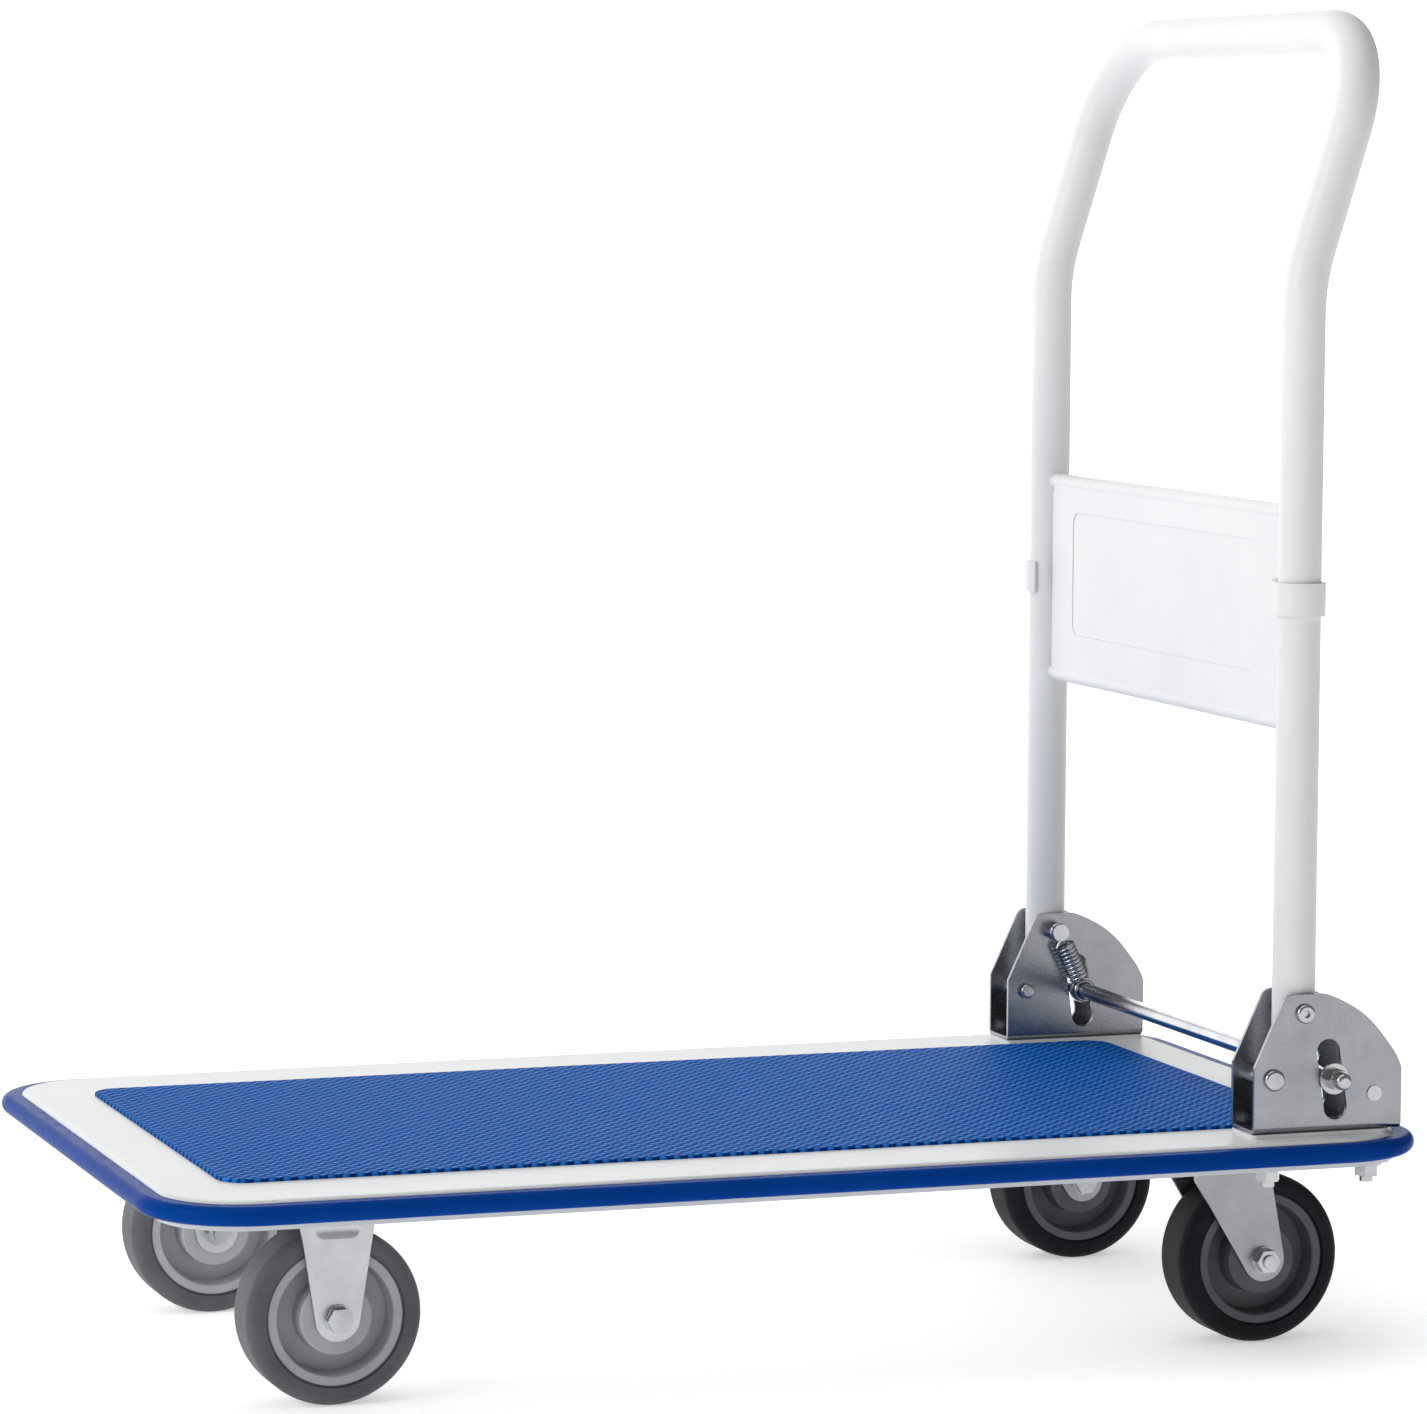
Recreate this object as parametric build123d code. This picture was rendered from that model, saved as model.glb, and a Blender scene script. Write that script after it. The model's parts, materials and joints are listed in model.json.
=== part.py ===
"""Folding platform cart: sheet-steel deck on four castors with a fold-down tube handle.

Millimetres. The origin is at the middle of the platform, on the floor. +X points to the
handle end, +Z is up, and the cart is mirrored about the XZ plane.
Each export is one separate piece, or one group of identical fasteners.
"""
import math
import os

from build123d import *

# ---- driving dimensions ------------------------------------------------------------
DECK_LENGTH = 748.0
DECK_WIDTH = 440.0
DECK_TOP = 132.0
DECK_DEPTH = 16.5
DECK_SHEET = 1.5
DECK_CORNER_RADIUS = 48.0
DECK_EDGE_RADIUS = 3.4
HINGE_SEAT = 2.5

BUMPER_PROUD = 12.0
BUMPER_LOW = 119.4
BUMPER_HIGH = 130.4
BUMPER_ROUND = 5.3

MAT_LENGTH = 669.0
MAT_WIDTH = 329.0
MAT_THICK = 2.0
MAT_CORNER_RADIUS = 16.0
MAT_EDGE_RADIUS = 0.8

CHANNEL_BOTTOM = 116.5
CHANNEL_SHEET = 2.0
CHANNEL_HALF_WIDTH = 196.0
HANDLE_CHANNEL = (226.0, 363.0)
MIDDLE_CHANNEL = (-60.0, 20.0)
FIXED_CHANNEL_HALF = 52.0
NUT_SEAT_DEPTH = 3.6
NUT_SEAT_WIDTH = 19.0

WHEEL_RADIUS = 51.0
TYRE_WIDTH = 36.0
TYRE_SHOULDER = 6.8
TYRE_GROOVE = 1.4
RIM_RADIUS = 39.0
RIM_WIDTH = 32.0
HUB_WIDTH = 38.0
HUB_RADIUS = 21.0
BUSH_RADIUS = 9.0
AXLE_RADIUS = 4.0
AXLE_CLEARANCE = 0.06
HALF_TRACK = 137.0
FIXED_WHEEL_X = -267.5
SWIVEL_WHEEL_X = 302.0
SWIVEL_TRAIL = 21.0

FORK_SHEET = 2.5
FORK_HALF_GAP = 19.6
PLATE_SHEET = 2.5
PLATE_LENGTH = 92.0
PLATE_WIDTH = 66.0
PLATE_HOLE_X = 72.0
PLATE_HOLE_Y = 48.0
CROWN_TOP = 107.6
LEG_TIP_RADIUS = 13.0
FIXED_LEG_HALF_TOP = 22.0
BALL_TRACK_RADIUS = 21.0
KING_PIN_RADIUS = 6.0
DIMPLE_RADIUS = 12.0
DIMPLE_OFFSET = 10.7
DIMPLE_DROP = 14.5
DIMPLE_REACH = 7.5

HANDLE_X = 304.5
HANDLE_HALF_SPACING = 189.0
TUBE_RADIUS = 12.7
TUBE_WALL = 1.5
HANDLE_TOP = 777.0
HANDLE_BEND_Z = 631.0
HANDLE_LEAN = 17.3
HANDLE_BEND_RADIUS = 130.0
HANDLE_CORNER_RADIUS = 62.0

PIVOT_Z = 205.0
PIVOT_PIN_RADIUS = 4.0
PIVOT_HEAD_RADIUS = 5.8
PIVOT_COLLAR_RADIUS = 5.6
TUBE_END_Z = 169.6
LEG_PLUG_TOP = 192.0

BRACKET_BACK = 272.7
BRACKET_FRONT = 367.5
BRACKET_HALF_WIDTH = 16.2
BRACKET_SHEET = 2.4
BRACKET_HEIGHT = 84.5

ROD_RADIUS = 5.0
ROD_X = 323.3
ROD_Z = 166.0
SLOT_TOP = (319.9, 182.0)
SLOT_LOW = (324.9, 149.0)
SLOT_RADIUS = 7.4

PANEL_FACE_X = 300.0
PANEL_SHEET = 1.4
PANEL_LOW = 373.0
PANEL_HIGH = 496.0
PANEL_HALF_WIDTH = 172.3
PANEL_CORNER = 8.0
PANEL_ROD_RADIUS = 5.0
PRESS_HALF_WIDTH = 139.0
PRESS_LOW = 400.0
PRESS_HIGH = 478.0
PRESS_DEPTH = 0.8
CLAMP_HEIGHT = 19.6
CLAMP_SHEET = 2.6
CLAMP_NEAR_Z = 446.8
CLAMP_FAR_Z = 434.0
CLAMP_REACH = 165.0
CLAMP_STEPS = 24

SPRING_RADIUS = 5.4
SPRING_TURNS = 9.0
SPRING_START = 9.0
SPRING_STOP = 10.5
WIRE_RADIUS = 1.1
SPRING_OFFSET = 6.8
NECK_LOOP = 4.8
ROD_LOOP = 6.3

M8_SHANK = 4.0
M8_HEX = 13.0
M8_NUT = 6.5
M8_HEAD = 5.2
AXLE_WASHER = 1.2
AXLE_FLANGE_RADIUS = 8.2
M6_SHANK = 3.0
M6_HEX = 10.0
M6_NUT = 5.0

SIDES = (("near", -1.0), ("far", 1.0))

os.makedirs("parts", exist_ok=True)


# ---- small helpers -------------------------------------------------------------------
def save(shape, node):
    """Write one piece, named after its node."""
    export_step(shape, f"parts/{node}.step")


def at(shape, x, y, z):
    """The shape moved to a place."""
    return Pos(x, y, z) * shape


def rod(radius, low, high, x, y):
    """A vertical cylinder between two heights."""
    return Pos(x, y, (low + high) / 2) * Cylinder(radius, high - low)


def cross(radius, start, end, x, z):
    """A cylinder along Y between two places."""
    turned = Rot(90, 0, 0) * Cylinder(radius, abs(end - start))
    return Pos(x, (start + end) / 2, z) * turned


def hexagon_up(width, low, high, x, y):
    """A vertical hexagonal prism, stated by its width across flats."""
    outline = RegularPolygon(width / 2, 6, major_radius=False)
    return Pos(x, y, low) * extrude(outline, high - low)


def hexagon_across(width, start, end, x, z):
    """A hexagonal prism along Y, stated by its width across flats."""
    outline = RegularPolygon(width / 2, 6, major_radius=False)
    prism = extrude(outline, abs(end - start))
    return Pos(x, max(start, end), z) * (Rot(90, 0, 0) * prism)


def across(outline, low_y, high_y):
    """An XZ outline face made solid between two Y places."""
    prism = extrude(outline, high_y - low_y)
    return Pos(0, high_y, 0) * (Rot(90, 0, 0) * prism)


def slab(points, low_y, high_y):
    """A closed XZ polygon made solid between two Y places."""
    outline = make_face(Polyline(*[(x, z) for x, z in points], close=True))
    return across(outline, low_y, high_y)


def plate_up(length, width, low, high, radius, x, y):
    """A vertical slab with rounded corners."""
    outline = RectangleRounded(length, width, radius)
    return Pos(x, y, low) * extrude(outline, high - low)


def fuse_all(pieces):
    """One solid from touching pieces."""
    whole = pieces[0]
    for piece in pieces[1:]:
        whole = whole + piece
    return whole


def revolve_across(points, x, y, z):
    """A closed (radius, along) outline turned about a line along Y."""
    outline = make_face(Polyline(*[(r, t) for r, t in points], close=True))
    turned = revolve(outline, Axis.Y, 360)
    return Pos(x, y, z) * turned


# ---- deck, mat, bumper -----------------------------------------------------------------
DECK_LOW = DECK_TOP - DECK_DEPTH
DECK_UNDER = DECK_TOP - DECK_SHEET
SEAT_TOP = DECK_TOP + HINGE_SEAT
BRACKET_BOLTS_X = (289.5, 353.5)


NUT_SEAT_LOW = CHANNEL_BOTTOM - NUT_SEAT_DEPTH


def swivel_x():
    """Where the swivel axis of the handle-end castors stands."""
    return SWIVEL_WHEEL_X - SWIVEL_TRAIL


def plate_holes(x, y):
    """The four fastener places of a castor plate."""
    return [
        (x + sx * PLATE_HOLE_X / 2, y + sy * PLATE_HOLE_Y / 2)
        for sx in (-1, 1)
        for sy in (-1, 1)
    ]


deck_outer = plate_up(DECK_LENGTH, DECK_WIDTH, DECK_LOW, DECK_TOP, DECK_CORNER_RADIUS, 0, 0)
top_edges = deck_outer.faces().sort_by(Axis.Z)[-1].edges()
deck_outer = fillet(top_edges, DECK_EDGE_RADIUS)
deck_inner = plate_up(
    DECK_LENGTH - 2 * DECK_SHEET,
    DECK_WIDTH - 2 * DECK_SHEET,
    DECK_LOW - 1,
    DECK_UNDER,
    DECK_CORNER_RADIUS - DECK_SHEET,
    0,
    0,
)
inner_edges = deck_inner.faces().sort_by(Axis.Z)[-1].edges()
deck_inner = fillet(inner_edges, DECK_EDGE_RADIUS - DECK_SHEET)
deck = deck_outer - deck_inner
crown = plate_up(
    DECK_LENGTH - 2 * DECK_EDGE_RADIUS,
    DECK_WIDTH - 2 * DECK_EDGE_RADIUS,
    DECK_UNDER,
    SEAT_TOP,
    DECK_CORNER_RADIUS - DECK_EDGE_RADIUS,
    0,
    0,
)
for side in (-1, 1):
    seat = plate_up(
        BRACKET_FRONT - BRACKET_BACK,
        2 * BRACKET_HALF_WIDTH,
        DECK_UNDER,
        SEAT_TOP,
        3.0,
        (BRACKET_FRONT + BRACKET_BACK) / 2,
        side * HANDLE_HALF_SPACING,
    )
    deck = deck + (seat & crown)
    for bolt_x in BRACKET_BOLTS_X:
        deck = deck - rod(M8_SHANK, DECK_UNDER - 1, SEAT_TOP + 1, bolt_x, side * HANDLE_HALF_SPACING)
save(deck, "deck_plate")

mat = plate_up(MAT_LENGTH, MAT_WIDTH, DECK_TOP, DECK_TOP + MAT_THICK, MAT_CORNER_RADIUS, 0, 0)
mat_top = mat.faces().sort_by(Axis.Z)[-1].edges()
save(fillet(mat_top, MAT_EDGE_RADIUS), "anti_slip_mat")


def bumper_ring():
    """A bulging rubber strip that runs once round the deck skirt."""
    middle = (BUMPER_LOW + BUMPER_HIGH) / 2
    outer = plate_up(
        DECK_LENGTH + 2 * BUMPER_PROUD,
        DECK_WIDTH + 2 * BUMPER_PROUD,
        BUMPER_LOW,
        BUMPER_HIGH,
        DECK_CORNER_RADIUS + BUMPER_PROUD,
        0,
        0,
    )
    rims = outer.faces().sort_by(Axis.Z)[-1].edges() + outer.faces().sort_by(Axis.Z)[0].edges()
    bulged = fillet(rims, BUMPER_ROUND)
    hollow = plate_up(DECK_LENGTH, DECK_WIDTH, middle - 20, middle + 20, DECK_CORNER_RADIUS, 0, 0)
    return bulged - hollow


save(bumper_ring(), "edge_bumper")


def hat_channel(low_x, high_x, bolt_spots):
    """A folded reinforcing channel that hangs under the deck, open to the skirt ends."""
    outer = Pos((low_x + high_x) / 2, 0, (CHANNEL_BOTTOM + DECK_UNDER) / 2) * Box(
        high_x - low_x, 2 * CHANNEL_HALF_WIDTH, DECK_UNDER - CHANNEL_BOTTOM
    )
    hollow = Pos((low_x + high_x) / 2, 0, (CHANNEL_BOTTOM + CHANNEL_SHEET + DECK_UNDER + 1) / 2) * Box(
        high_x - low_x - 2 * CHANNEL_SHEET,
        2 * CHANNEL_HALF_WIDTH + 2,
        DECK_UNDER + 1 - CHANNEL_BOTTOM - CHANNEL_SHEET,
    )
    shape = outer - hollow
    for x, y, radius in bolt_spots:
        shape = shape - rod(radius, CHANNEL_BOTTOM - 1, CHANNEL_BOTTOM + CHANNEL_SHEET + 1, x, y)
    return shape


handle_end_spots = [
    (x, y, M6_SHANK)
    for side in (-1, 1)
    for x, y in plate_holes(swivel_x(), side * HALF_TRACK)
]
handle_end_spots += [
    (x, side * HANDLE_HALF_SPACING, M8_SHANK) for side in (-1, 1) for x in BRACKET_BOLTS_X
]
fixed_end_spots = [
    (x, y, M6_SHANK)
    for side in (-1, 1)
    for x, y in plate_holes(FIXED_WHEEL_X, side * HALF_TRACK)
]
handle_channel = hat_channel(HANDLE_CHANNEL[0], HANDLE_CHANNEL[1], handle_end_spots)
for side in (-1, 1):
    seat_low_x = BRACKET_BOLTS_X[0] - NUT_SEAT_WIDTH / 2
    nut_seat = Box(
        HANDLE_CHANNEL[1] - seat_low_x,
        NUT_SEAT_WIDTH,
        NUT_SEAT_DEPTH,
        align=(Align.MIN, Align.CENTER, Align.MAX),
    )
    nut_seat = at(nut_seat, seat_low_x, side * HANDLE_HALF_SPACING, CHANNEL_BOTTOM)
    for bolt_x in BRACKET_BOLTS_X:
        nut_seat = nut_seat - rod(
            M8_SHANK,
            CHANNEL_BOTTOM - NUT_SEAT_DEPTH - 1,
            CHANNEL_BOTTOM + 1,
            bolt_x,
            side * HANDLE_HALF_SPACING,
        )
    handle_channel = handle_channel + nut_seat
save(handle_channel, "deck_channel_handle_end")
fixed_low = FIXED_WHEEL_X - FIXED_CHANNEL_HALF
fixed_high = FIXED_WHEEL_X + FIXED_CHANNEL_HALF
save(hat_channel(fixed_low, fixed_high, fixed_end_spots), "deck_channel_fixed_end")
save(hat_channel(MIDDLE_CHANNEL[0], MIDDLE_CHANNEL[1], []), "deck_channel_middle")


# ---- wheels ------------------------------------------------------------------------------
def tyre(x, y):
    """A solid rubber tyre with rounded shoulders and a shallow groove beside the rim."""
    half = TYRE_WIDTH / 2
    ring = cross(WHEEL_RADIUS, y - half, y + half, x, WHEEL_RADIUS)
    shoulders = ring.faces().sort_by(Axis.Y)
    edges = shoulders[0].edges() + shoulders[-1].edges()
    ring = fillet(edges, TYRE_SHOULDER)
    groove = cross(RIM_RADIUS + TYRE_GROOVE, y + half - TYRE_GROOVE, y + half + 1, x, WHEEL_RADIUS)
    groove = groove + cross(RIM_RADIUS + TYRE_GROOVE, y - half - 1, y - half + TYRE_GROOVE, x, WHEEL_RADIUS)
    bore = cross(RIM_RADIUS, y - half - 1, y + half + 1, x, WHEEL_RADIUS)
    return ring - groove - bore


def rim(x, y):
    """A moulded wheel centre: raised rim ring, dished web and a hub boss."""
    half_rim = RIM_WIDTH / 2 + 1.0
    half_hub = HUB_WIDTH / 2
    outline = [
        (BUSH_RADIUS, -half_hub),
        (HUB_RADIUS - 1.0, -half_hub),
        (HUB_RADIUS, -half_hub + 1.0),
        (HUB_RADIUS + 0.8, -5.0),
        (RIM_RADIUS - 6.6, -5.0),
        (RIM_RADIUS - 5.2, -half_rim + 0.6),
        (RIM_RADIUS - 4.6, -half_rim),
        (RIM_RADIUS, -half_rim),
        (RIM_RADIUS, half_rim),
        (RIM_RADIUS - 4.6, half_rim),
        (RIM_RADIUS - 5.2, half_rim - 0.6),
        (RIM_RADIUS - 6.6, 5.0),
        (HUB_RADIUS + 0.8, 5.0),
        (HUB_RADIUS, half_hub - 1.0),
        (HUB_RADIUS - 1.0, half_hub),
        (BUSH_RADIUS, half_hub),
    ]
    return revolve_across(outline, x, y, WHEEL_RADIUS)


def bush(x, y):
    """A sleeve in the hub bore that runs on the axle bolt."""
    half = HUB_WIDTH / 2 + 0.2
    outer = cross(BUSH_RADIUS, y - half, y + half, x, WHEEL_RADIUS)
    bore = cross(AXLE_RADIUS + AXLE_CLEARANCE, y - half - 1, y + half + 1, x, WHEEL_RADIUS)
    return outer - bore


for side_name, side in SIDES:
    for end_name, wheel_x in (("fixed", FIXED_WHEEL_X), ("swivel", SWIVEL_WHEEL_X)):
        wheel_y = side * HALF_TRACK
        save(tyre(wheel_x, wheel_y), f"{end_name}_tyre_{side_name}")
        save(rim(wheel_x, wheel_y), f"{end_name}_rim_{side_name}")
        save(bush(wheel_x, wheel_y), f"{end_name}_bush_{side_name}")


# ---- castor brackets and forks --------------------------------------------------------------
def rounded_leg(points, radius, axle_x, axle_z, low_y, high_y):
    """A tapering leg whose lower end is rounded about the axle."""
    leg = slab(points, low_y, high_y)
    tip = cross(radius, low_y, high_y, axle_x, axle_z)
    return leg + tip


def tangent_point(axle_x, axle_z, radius, corner_x, corner_z, hand):
    """Where a line from a corner touches the rounded end on one hand."""
    dx = corner_x - axle_x
    dz = corner_z - axle_z
    distance = math.hypot(dx, dz)
    lean = math.atan2(dz, dx)
    spread = math.acos(radius / distance)
    angle = lean + hand * spread
    return (axle_x + radius * math.cos(angle), axle_z + radius * math.sin(angle))


def dimple(x, y, z):
    """A long shallow press mark that stiffens a bracket leg."""
    bar = Pos(x, y, z) * (Rot(0, 90, 0) * Cylinder(DIMPLE_RADIUS, 2 * DIMPLE_REACH))
    return bar + at(Sphere(DIMPLE_RADIUS), x - DIMPLE_REACH, y, z) + at(Sphere(DIMPLE_RADIUS), x + DIMPLE_REACH, y, z)


def fixed_bracket(y):
    """A rigid castor bracket folded from one sheet: top plate and two tapering legs."""
    x = FIXED_WHEEL_X
    top = CHANNEL_BOTTOM
    plate = plate_up(PLATE_LENGTH, PLATE_WIDTH, top - PLATE_SHEET, top, 6.0, x, y)
    tip = LEG_TIP_RADIUS
    half_top = FIXED_LEG_HALF_TOP
    shape = plate
    for side in (-1, 1):
        inner = y + side * FORK_HALF_GAP
        outer = inner + side * FORK_SHEET
        low_y = min(inner, outer)
        high_y = max(inner, outer)
        back = tangent_point(x, WHEEL_RADIUS, tip, x - half_top, top - 9, 1)
        front = tangent_point(x, WHEEL_RADIUS, tip, x + half_top, top - 9, -1)
        points = [
            (x - half_top - 3.0, top - PLATE_SHEET),
            (x - half_top, top - 9),
            back,
            (x, WHEEL_RADIUS),
            front,
            (x + half_top, top - 9),
            (x + half_top + 3.0, top - PLATE_SHEET),
        ]
        leg = rounded_leg(points, tip, x, WHEEL_RADIUS, low_y, high_y)
        shape = shape + leg
        shape = shape - dimple(x, outer + side * DIMPLE_OFFSET, top - DIMPLE_DROP)
    bore = cross(AXLE_RADIUS, y - 40, y + 40, x, WHEEL_RADIUS)
    shape = shape - bore
    for hole_x, hole_y in plate_holes(x, y):
        shape = shape - rod(M6_SHANK, top - PLATE_SHEET - 1, top + 1, hole_x, hole_y)
    return shape


def swivel_plate(y):
    """The top plate of a swivel castor, pressed down into the upper ball cup."""
    x = swivel_x()
    top = CHANNEL_BOTTOM
    plate = plate_up(PLATE_LENGTH, PLATE_WIDTH, top - PLATE_SHEET, top, 6.0, x, y)
    cup = rod(27.0, CROWN_TOP + 2.6, top - PLATE_SHEET, x, y)
    shape = plate + cup
    for hole_x, hole_y in plate_holes(x, y):
        shape = shape - rod(M6_SHANK, top - PLATE_SHEET - 1, top + 1, hole_x, hole_y)
    track = Pos(x, y, CROWN_TOP + 2.6) * Torus(BALL_TRACK_RADIUS, 2.4)
    bore = rod(KING_PIN_RADIUS, CROWN_TOP, top - 0.01, x, y)
    recess = rod(10.5, top - 3.4, top + 1, x, y)
    return shape - track - bore - recess


def king_pin(y):
    """The riveted pin that holds the fork up under its plate."""
    x = swivel_x()
    shank = rod(KING_PIN_RADIUS, CROWN_TOP - 3.2, CHANNEL_BOTTOM - 0.9, x, y)
    upper = rod(10.4, CHANNEL_BOTTOM - 3.4, CHANNEL_BOTTOM - 0.9, x, y)
    lower = rod(9.5, CROWN_TOP - 5.2, CROWN_TOP - 2.9, x, y)
    return shank + upper + lower


def fork(y):
    """A raked swivel fork: dished crown over the wheel and two legs that trail to the axle."""
    x = swivel_x()
    axle_x = SWIVEL_WHEEL_X
    crown = rod(27.5, CROWN_TOP - FORK_SHEET, CROWN_TOP, x, y)
    crown = crown + plate_up(
        54.0, 2 * (FORK_HALF_GAP + FORK_SHEET), CROWN_TOP - FORK_SHEET, CROWN_TOP, 6.0, x, y
    )
    shape = crown
    tip = LEG_TIP_RADIUS
    for side in (-1, 1):
        inner = y + side * FORK_HALF_GAP
        outer = inner + side * FORK_SHEET
        low_y = min(inner, outer)
        high_y = max(inner, outer)
        back = tangent_point(axle_x, WHEEL_RADIUS, tip, x - 24.0, CROWN_TOP - 7, 1)
        front = tangent_point(axle_x, WHEEL_RADIUS, tip, x + 26.0, CROWN_TOP - 12, -1)
        points = [
            (x - 24.0, CROWN_TOP),
            (x - 24.0, CROWN_TOP - 7),
            back,
            (axle_x, WHEEL_RADIUS),
            front,
            (x + 26.0, CROWN_TOP - 12),
            (x + 24.0, CROWN_TOP),
        ]
        shape = shape + rounded_leg(points, tip, axle_x, WHEEL_RADIUS, low_y, high_y)
    track = Pos(x, y, CROWN_TOP) * Torus(BALL_TRACK_RADIUS, 1.3)
    bore = rod(KING_PIN_RADIUS + AXLE_CLEARANCE, CROWN_TOP - 10, CROWN_TOP + 10, x, y)
    axle_bore = cross(AXLE_RADIUS, y - 40, y + 40, axle_x, WHEEL_RADIUS)
    return shape - track - bore - axle_bore


def ball_ring(y):
    """The lower ball cage that turns with the fork, between crown and plate."""
    x = swivel_x()
    disc = rod(23.5, CROWN_TOP, CROWN_TOP + 2.2, x, y)
    return disc - rod(18.0, CROWN_TOP - 1, CROWN_TOP + 4, x, y)


def axle_bolt(x, y, side):
    """A hexagon bolt through the fork, with its head on the outer side."""
    outer = y + side * (FORK_HALF_GAP + FORK_SHEET)
    inner = y - side * (FORK_HALF_GAP + FORK_SHEET)
    end = inner - side * 9.5
    shank = cross(AXLE_RADIUS, outer, end, x, WHEEL_RADIUS)
    seat = outer + side * AXLE_WASHER
    washer = cross(AXLE_FLANGE_RADIUS, outer, seat, x, WHEEL_RADIUS)
    head = hexagon_across(M8_HEX, seat, seat + side * M8_HEAD, x, WHEEL_RADIUS)
    return shank + washer + head


def axle_nut(x, y, side):
    """The flange nut on the inner side of the fork."""
    inner = y - side * (FORK_HALF_GAP + FORK_SHEET)
    seat = inner - side * AXLE_WASHER
    flange = cross(AXLE_FLANGE_RADIUS, inner, seat, x, WHEEL_RADIUS)
    nut = hexagon_across(M8_HEX, seat, seat - side * M8_NUT, x, WHEEL_RADIUS)
    bore = cross(AXLE_RADIUS, inner + side, inner - side * 12, x, WHEEL_RADIUS)
    return flange + nut - bore


for side_name, side in SIDES:
    wheel_y = side * HALF_TRACK
    save(fixed_bracket(wheel_y), f"fixed_bracket_{side_name}")
    save(axle_bolt(FIXED_WHEEL_X, wheel_y, side), f"fixed_axle_bolt_{side_name}")
    save(axle_nut(FIXED_WHEEL_X, wheel_y, side), f"fixed_axle_nut_{side_name}")
    save(swivel_plate(wheel_y), f"swivel_plate_{side_name}")
    save(king_pin(wheel_y), f"king_pin_{side_name}")
    save(fork(wheel_y), f"swivel_fork_{side_name}")
    save(ball_ring(wheel_y), f"ball_ring_{side_name}")
    save(axle_bolt(SWIVEL_WHEEL_X, wheel_y, -side), f"swivel_axle_bolt_{side_name}")
    save(axle_nut(SWIVEL_WHEEL_X, wheel_y, -side), f"swivel_axle_nut_{side_name}")


# ---- castor fasteners ------------------------------------------------------------------------
castor_spots = []
for _, side in SIDES:
    castor_spots += plate_holes(FIXED_WHEEL_X, side * HALF_TRACK)
    castor_spots += plate_holes(swivel_x(), side * HALF_TRACK)

castor_bolts = []
castor_nuts = []
for spot_x, spot_y in castor_spots:
    head_low = CHANNEL_BOTTOM + CHANNEL_SHEET
    plate_low = CHANNEL_BOTTOM - PLATE_SHEET
    shank = rod(M6_SHANK, plate_low - M6_NUT - 1.5, head_low, spot_x, spot_y)
    head = rod(6.4, head_low, head_low + 3.4, spot_x, spot_y)
    castor_bolts.append(shank + head)
    nut = hexagon_up(M6_HEX, plate_low - M6_NUT, plate_low, spot_x, spot_y)
    castor_nuts.append(nut - rod(M6_SHANK, plate_low - 12, plate_low + 1, spot_x, spot_y))
save(Compound(children=castor_bolts), "castor_bolts")
save(Compound(children=castor_nuts), "castor_nuts")


# ---- hinge brackets and what passes through them -----------------------------------------------
BRACKET_SHOULDER_Z = 174.0
BRACKET_TOP_Z = 216.5
BRACKET_BACK_CORNER = ((290.2, 211.6), (293.0, 215.2), (297.5, BRACKET_TOP_Z))
BRACKET_CROWN = (
    (313.6, BRACKET_TOP_Z),
    (325.3, 213.4),
    (338.3, 206.4),
    (349.9, 196.6),
    (359.4, 184.9),
    (BRACKET_FRONT, 170.5),
)
STOP_X = 285.1
STOP_Z = 166.6
STOP_RADIUS = 6.2
STOP_PIN_RADIUS = 3.0
STOP_PEEN_RADIUS = 4.7
RIVET_X = 350.0
RIVET_Z = 156.0
RIVET_RADIUS = 4.0


def slot_cut(y):
    """The slanted slot that guides the lock rod through both walls of a bracket."""
    dx = SLOT_LOW[0] - SLOT_TOP[0]
    dz = SLOT_LOW[1] - SLOT_TOP[1]
    length = math.hypot(dx, dz)
    nx = -dz / length * SLOT_RADIUS
    nz = dx / length * SLOT_RADIUS
    points = [
        (SLOT_TOP[0] + nx, SLOT_TOP[1] + nz),
        (SLOT_LOW[0] + nx, SLOT_LOW[1] + nz),
        (SLOT_LOW[0] - nx, SLOT_LOW[1] - nz),
        (SLOT_TOP[0] - nx, SLOT_TOP[1] - nz),
    ]
    middle = slab(points, y - 30, y + 30)
    upper = cross(SLOT_RADIUS, y - 30, y + 30, SLOT_TOP[0], SLOT_TOP[1])
    lower = cross(SLOT_RADIUS, y - 30, y + 30, SLOT_LOW[0], SLOT_LOW[1])
    return middle + upper + lower


def bracket_outline():
    """The side shape of a hinge bracket: straight back, sloping neck and a round crown."""
    low_back = (BRACKET_BACK, SEAT_TOP)
    shoulder = (BRACKET_BACK, BRACKET_SHOULDER_Z)
    low_front = (BRACKET_FRONT, SEAT_TOP)
    edges = [
        Line(low_back, shoulder),
        Line(shoulder, BRACKET_BACK_CORNER[0]),
        ThreePointArc(*BRACKET_BACK_CORNER),
        Line(BRACKET_BACK_CORNER[2], BRACKET_CROWN[0]),
        Spline(*BRACKET_CROWN, tangents=((1, 0), (0.36, -1))),
        Line(BRACKET_CROWN[-1], low_front),
        Line(low_front, low_back),
    ]
    return make_face(edges)


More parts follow.
